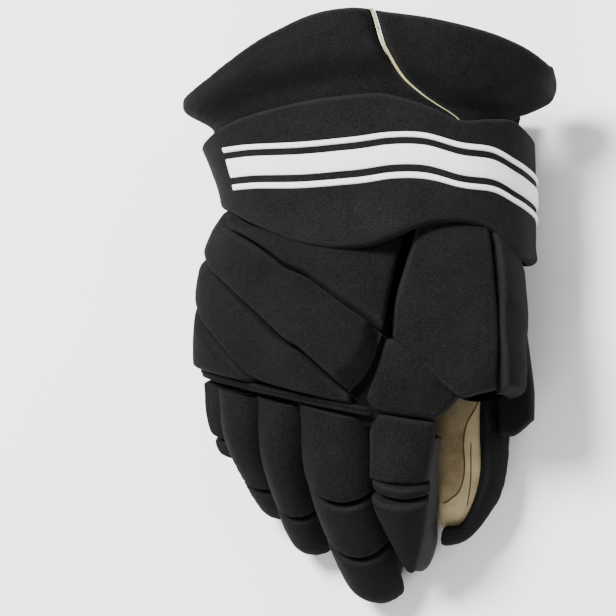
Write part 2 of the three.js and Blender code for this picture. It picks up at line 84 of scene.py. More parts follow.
# %% A tube and the points of its skin
class Tube:
    """Sections along a curve. Each row is at, x, y, z, half, rise, skew, lean, in shares of the sizes given."""

    def __init__(self, rows, start, size, power=0.75, spread=1.0, dome_from=2.0):
        rows = np.array(rows, float)
        self.stops, self.values = rows[:, 0], rows[:, 1:] * size
        self.start = np.array(start, float)
        self.power, self.spread, self.dome_from = power, spread, dome_from

    def widened(self, spread):
        """The same tube, whose pads grow sideways by another share."""
        other = object.__new__(Tube)
        other.__dict__.update(self.__dict__, spread=spread)
        return other

    def centre(self, at):
        return through(self.stops, self.values, at)[..., :3] + self.start

    def station(self, at):
        """Centre, side and up of the sections, and half their width and height, which a dome closes at the end."""
        row = through(self.stops, self.values, at)
        along = self.centre(np.asarray(at) + 0.01) - self.centre(np.asarray(at) - 0.01)
        along = along * -np.sign(along[..., 1:2])
        side = np.stack([np.ones_like(row[..., 0]), row[..., 5], row[..., 6]], -1)
        up = unit(np.cross(along, side))
        inside = np.clip((at - self.dome_from) / (1 - self.dome_from), 0, 1)
        dome = np.sqrt(1 - inside**2) if self.dome_from < 1 else np.ones_like(inside)
        return row[..., :3] + self.start, side, up, (row[..., 3] * dome)[..., None], (row[..., 4] * dome)[..., None]

    def skin(self, at, angle, off=0.0):
        """centre + side wide half + up high rise + out off, where wide and high are the sine and cosine of the
        angle raised to the tube's power. Nothing goes below the plane that the glove lies on."""
        at, angle, off = np.broadcast_arrays(np.asarray(at, float), np.asarray(angle, float), np.asarray(off, float))
        centre, side, up, half, rise = self.station(at)
        turn = np.radians(angle)
        wide = (np.sign(np.sin(turn)) * np.abs(np.sin(turn)) ** self.power)[..., None]
        high = (np.sign(np.cos(turn)) * np.abs(np.cos(turn)) ** self.power)[..., None]
        lift = np.maximum(high, self.spread) if self.spread < 1 else high
        out = unit(side * wide * self.spread + up * lift)
        points = centre + side * wide * half + up * high * rise + out * off[..., None]
        points[..., 2] = np.maximum(points[..., 2], 0)
        return points


# %% The hand, the cuff and the thumb
HAND_LENGTH, HAND_WIDTH, HAND_HEIGHT = 124, 124, 90
CUFF_LENGTH, CUFF_OVERLAP, CUFF_WIDTH, CUFF_HEIGHT = 94, 48, 200, 110
THUMB_BASE_LENGTH, THUMB_WIDTH, THUMB_TIP_LENGTH, THUMB_START = 116, 45, 84, -10
FINGER_REACH, FINGER_RISE, TIP_HEIGHT, KNUCKLE_GAP, FINGER_SIDE = 86, 20, -1, 2, 0.82
CLOTH, LEATHER = 2.0, 1.8

hand = Tube(
    [
        [0.0, -0.19, 0.0, 0.535, 0.395, 0.405, 0, 0],
        [0.25, -0.225, -0.25, 0.54, 0.44, 0.36, 0, 0],
        [0.5, -0.255, -0.5, 0.62, 0.452, 0.36, -0.1, 0.03],
        [0.74, -0.25, -0.74, 0.67, 0.462, 0.32, -0.22, 0.06],
        [1.0, -0.225, -1.0, 0.64, 0.505, 0.24, -0.32, 0.08],
    ],
    start=(0, 0, 0),
    size=(HAND_WIDTH, HAND_LENGTH, HAND_HEIGHT, HAND_WIDTH, HAND_HEIGHT, 1, 1),
)
cuff = Tube(
    [
        [0.0, 0.02, 0.0, 0.44, 0.39, 0.4, 0, 0],
        [0.27, 0.015, 0.27, 0.44, 0.395, 0.41, 0, 0],
        [0.57, -0.01, 0.57, 0.45, 0.425, 0.425, 0, 0],
        [0.79, -0.01, 0.79, 0.485, 0.47, 0.46, 0, 0],
        [1.0, 0.0, 1.0, 0.515, 0.51, 0.49, 0, 0],
    ],
    start=(0, -CUFF_OVERLAP, 0),
    size=(CUFF_WIDTH, CUFF_OVERLAP + CUFF_LENGTH, CUFF_HEIGHT, CUFF_WIDTH, CUFF_HEIGHT, 1, 1),
)
knuckle_centre, knuckle_side, _, knuckle_half, _ = hand.station(np.array(1.0))
hand_edge = knuckle_centre[0] + knuckle_half[0]
thumb_base = Tube(
    [
        [0.0, 0.33, 0.0, 0.53, 0.44, 0.33, 0, -0.1],
        [0.3, 0.35, -0.3, 0.57, 0.52, 0.38, 0, -0.2],
        [0.6, 0.375, -0.6, 0.6, 0.55, 0.4, 0, -0.25],
        [0.76, 0.4, -0.76, 0.65, 0.53, 0.35, 0, -0.25],
        [0.88, 0.57, -0.88, 0.67, 0.4, 0.27, 0, -0.2],
        [1.0, 0.7, -1.0, 0.68, 0.27, 0.2, 0, -0.15],
    ],
    start=(hand_edge, THUMB_START, 0),
    size=(THUMB_WIDTH, THUMB_BASE_LENGTH, HAND_HEIGHT, THUMB_WIDTH, HAND_HEIGHT, 1, 1),
)
thumb_tip = Tube(
    [
        [0.0, 0.2, 0.0, 0.92, 0.42, 0.92, 0, 0],
        [0.3, 0.12, -0.3, 0.88, 0.45, 0.86, 0, 0.1],
        [0.55, 0.14, -0.54, 0.84, 0.41, 0.82, 0, 0.1],
        [0.8, 0.14, -0.78, 0.74, 0.31, 0.75, 0.1, 0.05],
        [1.0, 0.04, -1.0, 0.5, 0.25, 0.66, 0.2, 0],
    ],
    start=(hand_edge, THUMB_START - THUMB_BASE_LENGTH * 0.9, 0),
    size=(THUMB_WIDTH, THUMB_TIP_LENGTH, FINGER_RISE, THUMB_WIDTH, FINGER_RISE, 1, 1),
    dome_from=0.7,
)
print("hand's edge at the knuckles, mm:", round(float(hand_edge), 1))

# %% The fingers: from and to across the knuckles, reach, rise, drift and taper
FINGERS = {
    "pinky": (-0.85, -0.46, 0.6, 0.86, 0.045, 0.8),
    "ring": (-0.455, -0.09, 0.77, 0.95, 0.005, 0.84),
    "middle": (-0.085, 0.53, 1.0, 1.0, 0.06, 0.66),
    "index": (0.54, 1.13, 0.73, 0.98, -0.08, 0.42),
}


def finger_tube(left, right, reach, rise, drift, taper):
    """A tube from the knuckles, which bends down to the plane and narrows to its tip."""
    start = knuckle_centre + knuckle_side * (left + right) / 2 * knuckle_half - np.array([0, KNUCKLE_GAP, 0])
    half = (right - left) / 2 * knuckle_half[0] * FINGER_SIDE
    return Tube(
        [
            [0.0, 0.0, 0.0, 0.0, 1.0, 1.0, -0.32, 0.08],
            [0.25, 0.2, -0.29, -0.06, 1 - 0.06 * (1 - taper), 0.95, -0.25, 0.06],
            [0.5, 0.45, -0.57, -0.32, 1 - 0.3 * (1 - taper), 0.86, -0.22, 0.04],
            [0.75, 0.72, -0.81, -0.63, 1 - 0.65 * (1 - taper), 0.78, -0.19, 0.02],
            [1.0, 1.0, -1.0, -1.0, taper, 0.72, -0.17, 0],
        ],
        start=start,
        size=(drift * HAND_WIDTH, reach * FINGER_REACH, start[2] - TIP_HEIGHT, half, rise * FINGER_RISE, 1, 1),
        power=0.85,
        spread=0.25,
        dome_from=0.84,
    )


fingers = {name: finger_tube(*row) for name, row in FINGERS.items()}

# %% Where the tubes stand in the frame
corner = hand.skin(*np.meshgrid(np.linspace(0, 1, 8), np.linspace(-100, 100, 21))).reshape(-1, 3).max(0)
box_low, box_high = (np.array(c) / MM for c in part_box("hand_back"))
SHIFT = np.array([box_high[0] - corner[0], box_high[1] - corner[1], 0])
print("shift, mm:", SHIFT.round(2), "left over in z:", round(float(box_high[2] - corner[2]), 2))

# %% [markdown]
# ## Finishes
#
# The pads are black woven nylon, the band a finer and lighter weave, the palm and the finger stalls thin leather, the
# thumb's inner face cream leather, the trim raw pale webbing, and the stripe white satin stitch. Photographs of cloth
# could be wrapped on, but they blur close up and repeat. Nodes are used instead: the weave is worked out from each
# piece's own lay of cloth, a UV map in metres, and the grain from the place in space.


# %% Shader arithmetic
class Value:
    """One output socket, on which ordinary arithmetic adds the Math node that works it out."""

    def __init__(self, sheet, socket):
        self.sheet, self.socket = sheet, socket

    def _math(self, operation, *values):
        return self.sheet.node("ShaderNodeMath", {"operation": operation}, dict(enumerate(values)))

    def __add__(self, other):
        return self._math("ADD", self, other)

    def __sub__(self, other):
        return self._math("SUBTRACT", self, other)

    def __rsub__(self, other):
        return self._math("SUBTRACT", other, self)

    def __mul__(self, other):
        return self._math("MULTIPLY", self, other)

    def above(self, other):
        return self._math("GREATER_THAN", self, other)

    def sine(self):
        return self._math("SINE", self)

    def size(self):
        return self._math("ABSOLUTE", self)

    __radd__ = __add__


class Finish:
    """A material and its Principled shader. node() adds any node: its type, its settings, its inputs."""

    def __init__(self, name, roughness, sheen=0.0, specular=0.5):
        self.material = bpy.data.materials.new(name)
        self.material.use_nodes = True
        self.tree = self.material.node_tree
        self.shader = self.tree.nodes["Principled BSDF"]
        for socket, value in {"Roughness": roughness, "Sheen Weight": sheen, "Specular IOR Level": specular}.items():
            self.shader.inputs[socket].default_value = value

    def node(self, kind, settings=None, inputs=None, output=0):
        node = self.tree.nodes.new(kind)
        for name, value in (settings or {}).items():
            setattr(node, name, value)
        for name, value in (inputs or {}).items():
            self.feed(node.inputs[name], value)
        return Value(self, node.outputs[output])

    def feed(self, socket, value):
        if isinstance(value, Value):
            self.tree.links.new(value.socket, socket)
        else:
            socket.default_value = value

    def noise(self, scale, detail=2.0, rough=0.5):
        """Noise in space: scale is in cells a metre, and about 0.5 is its mean."""
        inputs = {"Vector": self.place(), "Scale": scale, "Detail": detail, "Roughness": rough}
        return self.node("ShaderNodeTexNoise", {}, inputs)

    def place(self):
        """Where a point lies in space, in metres."""
        return self.node("ShaderNodeTexCoord", output=3)

    def seam(self):
        """1 along a pad's stitches, where its cloth gets a painted highlight, or where a piece's leather is darker,
        and 0 elsewhere.
        """
        return self.node("ShaderNodeAttribute", {"attribute_name": "seam"}, output=2)

    def lay(self):
        """Where a point lies on its piece's cloth, across and along, in metres."""
        place = self.node("ShaderNodeUVMap", {"uv_map": "lay"})
        split = self.node("ShaderNodeSeparateXYZ", {}, {0: place})
        return split, Value(self, split.socket.node.outputs[1])

    def blend(self, share, low, high):
        """A colour between two others."""
        inputs = {0: share, 6: (*low, 1), 7: (*high, 1)}
        return self.node("ShaderNodeMix", {"data_type": "RGBA"}, inputs, output=2)

    def bump(self, height, metres, normal=None):
        """A height from 0 to 1, so many metres high, over another normal or over the bare face."""
        inputs = {"Height": height, "Distance": metres, "Strength": 1.0}
        if normal is not None:
            inputs["Normal"] = normal
        return self.node("ShaderNodeBump", {}, inputs)

    def finish(self, **sockets):
        for name, value in sockets.items():
            self.feed(self.shader.inputs[name.replace("_", " ")], value)
        return self.material


# %% Woven cloth
FUZZ, PATCHES, SWELLS, CREASES, STAINS = 1450, 38, 95, 70, 25  # cells a metre
SWELL_HEIGHT, CREASE_HEIGHT = 0.0006, 0.0012


def woven(name, dark, light, pitch, depth, sheen):
    """Plain weave: at each place the warp or the weft is on top, in squares, and each thread is a half sine."""
    sheet = Finish(name, 0.9, sheen, specular=0.05)
    across, along = sheet.lay()
    wander = sheet.noise(140) * 1.5 + sheet.noise(620) * 3.0
    warp = (across * (np.pi / pitch) + wander).sine()
    weft = (along * (np.pi / pitch) + wander).sine()
    over = (warp * weft).above(0.0)
    thread = warp.size() * over + weft.size() * (1 - over)
    fuzz = sheet.noise(FUZZ, 2.0, 0.6)
    # The seam mask lightens the cloth along a pad's stitches: a painted highlight.
    # The thread's height also sets the colour: the valleys between threads are painted shade.
    share = thread * 0.3 + fuzz * 2.1 + sheet.noise(PATCHES, 3.0, 0.6) * 0.5 - 1.05 + sheet.seam() * 0.35
    normal = sheet.bump(thread * 0.35 + fuzz, depth)
    normal = sheet.bump(sheet.noise(SWELLS), SWELL_HEIGHT, normal)
    return sheet.finish(Base_Color=sheet.blend(share, dark, light), Roughness=0.78 + fuzz * 0.2, Normal=normal)


PAD_CLOTH = woven("pad_cloth", (0.0005, 0.0005, 0.0005), (0.0112, 0.0112, 0.0114), 0.00105, 0.00018, 0.01)
BAND_CLOTH = woven("band_cloth", (0.0012, 0.0012, 0.0013), (0.0126, 0.0127, 0.0133), 0.0008, 0.00012, 0.015)
INNER_CLOTH = woven("inner_cloth", (0.0005, 0.0005, 0.0005), (0.005, 0.005, 0.0052), 0.0012, 0.00015, 0.0)


# %% Leather and webbing
def leather(name, dark, light, grain, depth, roughness):
    """Cells of grain with soft creases between them, darker in the creases and in the low parts of the wrinkles:
    painted shade.
    """
    sheet = Finish(name, roughness, 0.02, specular=0.15)
    inputs = {"Vector": sheet.place(), "Scale": grain}
    cells = sheet.node("ShaderNodeTexVoronoi", {"feature": "DISTANCE_TO_EDGE"}, inputs)
    crease, stain = sheet.noise(CREASES, 4.0, 0.6), sheet.noise(STAINS, 3.0, 0.6)
    share = cells * 0.6 + crease * 0.9 + stain * 0.9 - 0.45 - sheet.seam() * 0.36
    normal = sheet.bump(crease, CREASE_HEIGHT, sheet.bump(cells, depth))
    rough = roughness - 0.1 + stain * 0.2
    return sheet.finish(Base_Color=sheet.blend(share, dark, light), Roughness=rough, Normal=normal)


# %% Satin stitch
def satin(name, dark, light, pitch, depth):
    """Threads laid side by side across a stripe: half sines along it, with a few threads darker than the rest."""
    sheet = Finish(name, 0.45, 0.1, specular=0.4)
    across, _ = sheet.lay()
    thread = (across * (np.pi / pitch) + sheet.noise(160) * 1.2).sine().size()
    # Painted shade: the colour darkens between the threads, where they dip, and is lightest on their crowns.
    share = thread * 0.7 + sheet.noise(900, 2.0, 0.6) * 0.6
    return sheet.finish(Base_Color=sheet.blend(share, dark, light), Normal=sheet.bump(thread, depth))


PALM_LEATHER = leather("palm_leather", (0.003, 0.003, 0.003), (0.013, 0.013, 0.0135), 900, 0.00012, 0.7)
CREAM_LEATHER = leather("cream_leather", (0.14, 0.1, 0.045), (0.48, 0.4, 0.235), 1400, 0.00008, 0.6)
PALE_TRIM = leather("pale_trim", (0.2, 0.19, 0.08), (0.5, 0.48, 0.28), 2200, 0.0002, 0.8)
WHITE_THREAD = satin("white_thread", (0.42, 0.42, 0.42), (0.86, 0.86, 0.85), 0.0009, 0.00015)
# Brown thread for the thumb's seam; it also draws a dark line of painted shade in the fold beside it.
BROWN_THREAD_AND_FOLD_SHADE = leather("brown_thread_and_fold_shade", (0.03, 0.02, 0.01), (0.09, 0.06, 0.03), 2200, 0.0001, 0.8)
print("finishes:", [m.name for m in bpy.data.materials])

# %% [markdown]
# ## From points to pieces
#
# Every piece is made from two grids of points: the face that shows and the face under it. They could be one face with
# a Solidify modifier, but then the rim of a pad couldn't be lower than its middle. The two grids are closed along
# their free sides, so each piece is one watertight body with its faces outwards.


# %% Two grids into one closed body
SHARP = 48  # degrees, the least bend between two faces that shows as an edge


def quads(ids):
    """Faces between the neighbours in a grid of point numbers."""
    return np.stack([ids[:-1, :-1], ids[:-1, 1:], ids[1:, 1:], ids[1:, :-1]], -1).reshape(-1, 4)


def body(name, outer, inner, finish, nodes, lay=None, seam=None, wrap=False, shut=False, slot="cloth"):
    """Outer and inner grids, rows along the piece and columns across it, in millimetres. A wrapped piece's first and
    last columns are the same points, and a shut one ends in a point."""
    rows, cols = outer.shape[:2]
    top = np.arange(rows * cols).reshape(rows, cols)
    low = top + rows * cols
    faces = [quads(top), quads(low)[:, ::-1], quads(np.stack([low[0], top[0]]))]
    if not shut:
        faces.append(quads(np.stack([top[-1], low[-1]])))
    if not wrap:
        faces += [quads(np.stack([top[:, 0], low[:, 0]])), quads(np.stack([low[:, -1], top[:, -1]]))]
    faces = np.concatenate(faces)
    points = (np.concatenate([outer.reshape(-1, 3), inner.reshape(-1, 3)]) + SHIFT) * MM
    if lay is None:
        lay = spans(outer)
    place = np.concatenate([np.stack(lay, -1).reshape(-1, 2)] * 2) * MM
    mesh = bpy.data.meshes.new(name)
    mesh.from_pydata(points.tolist(), [], faces.tolist())
    mesh.uv_layers.new(name="lay").data.foreach_set("uv", place[faces.ravel()].ravel())
    values = np.zeros(len(points)) if seam is None else np.concatenate([seam.ravel(), seam.ravel()])
    mesh.attributes.new("seam", "FLOAT", "POINT").data.foreach_set("value", values)
    return settle(name, mesh, finish, nodes)


def settle(name, mesh, finish, nodes):
    """Merges doubles, turns the faces outwards, smooths all but the sharp edges, and puts the piece in the frame."""
    work = bmesh.new()
    work.from_mesh(mesh)
    bmesh.ops.remove_doubles(work, verts=work.verts, dist=1e-6)
    bmesh.ops.dissolve_degenerate(work, dist=1e-7, edges=work.edges)
    if work.calc_volume(signed=True) < 0:
        bmesh.ops.reverse_faces(work, faces=work.faces)
    open_edges = sum(not e.is_manifold for e in work.edges)
    work.to_mesh(mesh)
    work.free()
    mesh.polygons.foreach_set("use_smooth", [True] * len(mesh.polygons))
    mesh.set_sharp_from_angle(angle=np.radians(SHARP))
    piece = bpy.data.objects.new(name, mesh)
    bpy.context.scene.collection.objects.link(piece)
    mesh.materials.append(finish)
    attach(piece, "root")
    if nodes:
        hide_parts(*nodes)
    if open_edges:
        print(name, "has", open_edges, "open edges")
    return piece


def spans(grid):
    """How far each point lies across and along its grid, in millimetres."""
    across = np.linalg.norm(np.diff(grid, axis=1, prepend=grid[:, :1]), axis=-1).cumsum(1)
    along = np.linalg.norm(np.diff(grid, axis=0, prepend=grid[:1]), axis=-1).cumsum(0)
    return across, along


def lumps(points, wave, seed, count=7):
    """Soft unevenness: the mean of a few sines that run in different directions, between -1 and 1."""
    rng = np.random.default_rng(seed)
    ways = unit(rng.normal(size=(count, 3))) * 2 * np.pi / (wave * rng.uniform(0.7, 1.5, (count, 1)))
    return np.sin(points @ ways.T + rng.uniform(0, 6.28, count)).mean(-1)


def even(count):
    return np.linspace(0, 1, count)


def crowded(count, pull=0.85):
    """Stops from 0 to 1 that crowd near both ends, where a pad's edge rolls down."""
    t = even(count)
    return t - pull * np.sin(2 * np.pi * t) / (2 * np.pi)


# %% [markdown]
# ## Pads
#
# A pad is a slab of foam in a sleeve of cloth, sewn down along its edge. Its face is nearly flat, its edge rolls down
# in a quarter round, and the seam pulls small puckers into it. A block with a bevel would look moulded, and simulated
# cloth would lose the sharp diagonal grooves. So the height over the skin is a product of quarter rounds, one for each
# side, counted in millimetres from the seam, and the puckers and the unevenness of the foam are added to it.

# %% A pad's height over its ground
EDGE, PAD_GAP, LEAST = 0.3, 0.8, 0.4  # share of the height left at the seam; under the pad; the least height
LONG_WAVE, SHORT_WAVE, SHORT_RISE = 34, 12, 0.18  # millimetres
PUCKER_REACH, PUCKER_TURN, CROWN_REACH = 5, 0.9, 14
STITCH_HIGHLIGHT, STITCH_HIGHLIGHT_WIDTH = 1.2, 1.3  # a painted highlight along the line of stitches, and its width, from the edge


def rounded(distance, radius):
    """A quarter round: the root of 1 - (1 - d / r) squared, flat beyond r."""
    return np.sqrt(1 - (1 - np.clip(distance / max(radius, 0.01), 0, 1)) ** 2)


def sloped(distance, width):
    """1 at the seam, falling evenly to 0 at the width, with a soft corner there."""
    return np.log1p(np.exp(14 * (1 - distance / width))) / 14


def uneven(points, rough, seed):
    """The foam's unevenness: long soft waves, and short low ones on them."""
    return rough * lumps(points, LONG_WAVE, seed) + SHORT_RISE * lumps(points, SHORT_WAVE, seed + 9)


def cushion(name, surface, shape, thick, nodes, roll=(5, 5, 5, 5), slopes=(), crown=0.0, seed=0, finish=PAD_CLOTH,
            slot="cloth", fill=0.7, pucker=0.22, rough=0.5):
    """surface(height) gives the points over the ground. roll and slopes go left, right, start, end, in millimetres.
    A slope is (side, width, depth)."""
    middle = surface(np.full(shape, PAD_GAP + thick * 0.6))
    across, along = spans(middle)
    sides = [across, across[:, -1:] - across, along, along[-1:] - along]
    rolled = np.ones(shape)
    for distance, radius in zip(sides, roll):
        rolled = rolled * rounded(distance, radius)
    height = thick * (EDGE + (1 - EDGE) * rolled)
    for side, width, depth in slopes:
        height = height - depth * sloped(sides[side], width) * rolled
    near = np.minimum.reduce(sides)
    wave = (across + along) * PUCKER_TURN + 4 * lumps(middle, 9, seed + 5)
    height = height + pucker * np.exp(-((near / PUCKER_REACH) ** 2)) * np.sin(wave) * rolled
    height = height + uneven(middle, rough, seed) * rolled + crown * (1 - np.exp(-near / CROWN_REACH))
    outer, inner = surface(PAD_GAP + np.maximum(height, LEAST)), surface(np.full(shape, PAD_GAP))
    # A painted highlight: a band along the stitches near the edge, where the pad's cloth is drawn lighter.
    seam = np.exp(-(((near - STITCH_HIGHLIGHT) / STITCH_HIGHLIGHT_WIDTH) ** 2))
    piece = body(name, outer, inner, finish, nodes, lay=(across, along), seam=seam, slot=slot)
    return piece


def curve(places, t):
    """A smooth curve through places spread evenly from 0 to 1."""
    return through(even(len(places)), np.array(places, float), t)


def patch(start, end, left=None, right=None, cols=56, rows=40):
    """Places inside four sides, each a smooth curve through a few places. It is the sum of the two ways of joining
    opposite sides, less the plain blend of the corners."""
    u, v = crowded(cols), crowded(rows)
    low, high = curve(start, u)[None], curve(end, u)[None]
    near = curve(left or [start[0], end[0]], v)[:, None]
    far = curve(right or [start[-1], end[-1]], v)[:, None]
    u, v = u[None, :, None], v[:, None, None]
    flat = (1 - v) * ((1 - u) * low[:, :1] + u * low[:, -1:]) + v * ((1 - u) * high[:, :1] + u * high[:, -1:])
    return np.moveaxis((1 - v) * low + v * high + (1 - u) * near + u * far - flat, -1, 0)


def tube_pad(name, form, places, thick, **rest):
    """A pad on a tube, whose places are shares and angles."""
    at, angle = places
    return cushion(name, lambda height: form.skin(at, angle, height), at.shape, thick, [name], **rest)


# %% [markdown]
# ## Shells
#
# The glove is hollow: a sleeve of cloth round the wrist, a shell of cloth over the back of the hand, a leather palm,
# a tube for the thumb and a closed stall for each finger. They are thin walls. Each is the tube's own skin and the
# same skin a wall's thickness further in.


# %% Walls round a tube
def shell(name, form, wall, angles, ats, finish, slot="cloth", **rest):
    """A wall round a tube, open at both ends."""
    angle, at = np.meshgrid(angles, ats)
    outer, inner = form.skin(at, angle), form.skin(at, angle, -wall)
    return body(name, outer, inner, finish, [name], slot=slot, **rest)


def stall(name, form, wall, finish, slot="leather", count=36, turns=49, shade=None):
    """A closed stall: rings to a dome. The inner face is drawn in towards their centres and stays off the plane."""
    angle, at = np.meshgrid(np.linspace(-180, 180, turns), crowded(count, 0.5))
    outer = form.skin(at, angle)
    half = form.station(np.array(0.0))[3][0]
    pull = (half - wall) / half
    centre, back = form.centre(at), form.centre(at * pull)
    inner = (outer - centre) * pull + back
    inner[..., 2] = np.maximum(inner[..., 2], wall)
    seam = None if shade is None else shade(at, angle)
    return body(name, outer, inner, finish, [name], seam=seam, wrap=True, shut=True, slot=slot)


# %% The shells
PAST_KNUCKLES, SHORT_OF_TIP = 1.04, 0.965
THUMB_SEAM = [(-0.05, 50), (0.14, 34), (0.24, 23), (0.38, 19), (0.5, 19), (0.6, 16), (0.68, 8), (0.735, -6),
              (0.75, -22)]


def inside_seam(at, angle):
    """1 on the side of the thumb's seam where the leather is tan, 0 on the lighter side."""
    line = np.array(THUMB_SEAM, float)
    edge = np.interp(at, line[:, 0], line[:, 1])
    return np.clip((edge - angle) / 5 + 0.5, 0, 1) * (at < line[-1, 0])


shell("hand_back", hand, CLOTH, np.linspace(-100, 100, 90), even(50) * PAST_KNUCKLES, INNER_CLOTH)
shell("palm", hand, LEATHER, np.linspace(100.4, 259.6, 70), even(50), PALM_LEATHER, slot="leather")
shell("thumb_base", thumb_base, CLOTH, np.linspace(0, 360, 73), even(50) * SHORT_OF_TIP, INNER_CLOTH, wrap=True)
for finger_name, form in fingers.items():
    stall(f"{finger_name}_stall", form, LEATHER, PALM_LEATHER)
stall("thumb_stall", thumb_tip, LEATHER, CREAM_LEATHER, slot="cream", count=110, turns=145, shade=inside_seam)
print("shells made")

# %% [markdown]
# ## The wrist's edges
#
# The band and the cuff's panels are cut to curves that rise and fall round the wrist. Each curve is one column of a
# short table, read at any angle.

# %% Edges round the cuff
EDGES = np.array(
    [
        [-126, 0.29, 0.52, 0.66],
        [-85, 0.275, 0.54, 0.73],
        [-62, 0.235, 0.557, 0.76],
        [-35, 0.135, 0.614, 0.84],
        [-14, 0.05, 0.65, 0.935],
        [0, 0.02, 0.67, 0.995],
        [10, 0.05, 0.665, 0.965],
        [22, 0.095, 0.61, 0.935],
        [38, 0.105, 0.525, 0.895],
        [56, 0.075, 0.53, 0.855],
        [72, 0.0, 0.538, 0.82],
        [90, 0.0, 0.51, 0.775],
        [125, 0.04, 0.46, 0.66],
        [180, 0.2, 0.46, 0.62],
        [234, 0.29, 0.52, 0.66],
    ]
)
COLUMNS = ["low", "high", "mouth"]
LAST_ANGLE, CUFF_TUCK, SLEEVE_END = 234, 0.07, 0.45


def edge_at(column, angle):
    """The low edge, the high edge or the mouth, as a share of the cuff's tube."""
    angle = np.asarray(angle, float)
    angle = np.where(angle > LAST_ANGLE, angle - 360, angle)
    return through(EDGES[:, 0], EDGES[:, 1:], angle)[..., COLUMNS.index(column)]


def wrist_sleeve():
    """The cloth sleeve that joins hand and cuff, under the band."""
    angle, share = np.meshgrid(np.linspace(0, 360, 97), even(20))
    low = np.maximum(edge_at("low", angle) + CUFF_TUCK, 0)
    at = low + (SLEEVE_END - low) * share
    outer, inner = cuff.skin(at, angle, -PAD_GAP), cuff.skin(at, angle, -PAD_GAP - CLOTH)
    body("wrist_shell", outer, inner, INNER_CLOTH, ["wrist_shell"], wrap=True)


wrist_sleeve()

# %% [markdown]
# ## The back of the hand
#
# Four pads run diagonally over the back, with deep grooves between them. One slab could be cut by grooves, but then
# its edges wouldn't roll down into them. So each pad is a piece of its own: its sides are curves through a few places
# on the hand, and neighbours share the line of the groove between them.

# %% Diagonal pads: places are a share of the hand's length and an angle
BAND_EDGE = [(0.07, -62), (0.11, -50), (0.2, -30), (0.27, -10), (0.3, 10), (0.26, 34), (0.16, 60)]
GROOVE_1 = [(0.03, -92), (0.18, -51), (0.348, -25), (0.431, -11), (0.485, -2.5), (0.531, 4), (0.579, 12), (0.621, 22),
            (0.653, 34), (0.682, 48)]
GROOVE_2 = [(0.26, -92), (0.428, -61), (0.559, -37), (0.642, -23), (0.698, -12.5), (0.742, -5), (0.782, 1), (0.822, 7),
            (0.863, 13.5), (0.907, 21)]
GROOVE_3 = [(0.56, -92), (0.67, -72), (0.75, -54), (0.798, -40), (0.843, -30), (0.889, -22), (0.937, -16)]
KNUCKLES = [(0.972, -92), (0.972, -72), (0.972, -54), (0.97, -36), (0.965, -20)]
C_END = [(0.55, -92), (0.66, -73), (0.74, -55), (0.788, -41), (0.833, -31), (0.88, -23), (0.937, -14), (0.95, 3),
         (0.945, 21)]
HALF_GROOVE = 0.006


def nudged(places, by):
    return [(at + by, angle) for at, angle in places]


back_ground = hand.widened(0.9)
tube_pad("back_pad_a", back_ground,
         patch(BAND_EDGE, [(0.1, -62), *nudged(GROOVE_1, -HALF_GROOVE)[1:]],
               right=[(0.16, 60), (0.42, 57), (0.676, 48)], cols=76),
         13, roll=(4, 5, 16, 3), slopes=[(3, 10, 1.2)], seed=1)
tube_pad("back_pad_b", back_ground,
         patch(nudged(GROOVE_1, HALF_GROOVE), nudged(GROOVE_2, -HALF_GROOVE),
               right=[(0.688, 48), (0.79, 38), (0.899, 21)], cols=96),
         14, roll=(12, 4, 2.5, 2.5), slopes=[(2, 10, 3.6), (1, 13, 9), (3, 5, 1.2)], seed=2)
tube_pad("back_pad_c", back_ground, patch(nudged(GROOVE_2, HALF_GROOVE), C_END, cols=96), 13,
         roll=(12, 3.5, 2.5, 2.5), slopes=[(2, 6, 2.6), (3, 5, 1)], seed=3)
tube_pad("back_pad_d", back_ground, patch(nudged(GROOVE_3, 0.008), KNUCKLES), 13,
         roll=(12, 3, 3, 3), slopes=[(2, 5, 2)], seed=4)
print("back pads made")

# %% [markdown]
# ## A place in space from the photograph
#
# The camera looks down on the glove from a little to the thumb's side. A long lens makes its view nearly parallel, so
# one point of the picture and a height over the plane give a place in space. Four pads lie on no single tube: the one
# beside the thumb, the first on the index finger, and the thumb's top pad and outer lobe. Shares and angles mean
# little for them, so they are built from such places.

# %% The camera's frame
RIGHT = np.array([0.951, 0.0, -0.309])
UP = np.array([0.064, 0.978, 0.198])
BACK = np.array([0.302, -0.208, 0.93])
PIXEL, PHOTO = 0.55, 616
AIM_COLUMN, AIM_ROW, AIM_RIGHT, AIM_UP = 368, 308, -19, 12.85
ORIGIN_SHIFT = np.array([1.9, -0.35, 0.0])


def seen(column, row, z):
    """The place at height z that the picture shows there, in the pads' own millimetres."""
    r, u = (column - AIM_COLUMN) * PIXEL + AIM_RIGHT, (AIM_ROW - row) * PIXEL + AIM_UP
    x = (r - RIGHT[2] * z) / RIGHT[0]
    y = (u - UP[0] * x - UP[2] * z) / UP[1]
    return np.stack(np.broadcast_arrays(x, y, z), -1) + ORIGIN_SHIFT - SHIFT


def free_pad(name, places, thick, **rest):
    """A pad whose places are (column, row, height) in the picture. It grows towards the camera."""
    ground = seen(*places) - BACK * (thick + PAD_GAP)
    return cushion(name, lambda height: ground + BACK * height[..., None], places[0].shape, thick, [name], **rest)


free_pad("index_knuckle_pad",
         patch([(384, 338, 88), (398, 341, 88), (431, 365, 85), (459, 396, 76)],
               [(363, 398, 86), (376, 411, 85), (405, 418, 81), (434, 421, 77)],
               left=[(384, 338, 88), (374, 367, 88), (363, 398, 86)],
               right=[(459, 396, 76), (448, 409, 76), (434, 421, 77)], cols=50, rows=44),
         15, roll=(3, 4, 3, 3), slopes=[(0, 7, 2), (3, 5, 1.5)], seed=6)

# %% [markdown]
# ## Fingers
#
# Each finger carries a row of short pads, so that it can bend between them. One long pad with dents would be less
# work, but the real pads are separate blocks with a gap at each bend, and the gaps show. Their lower ends are slightly
# pointed, where the cloth is pulled down along the finger's ridge.

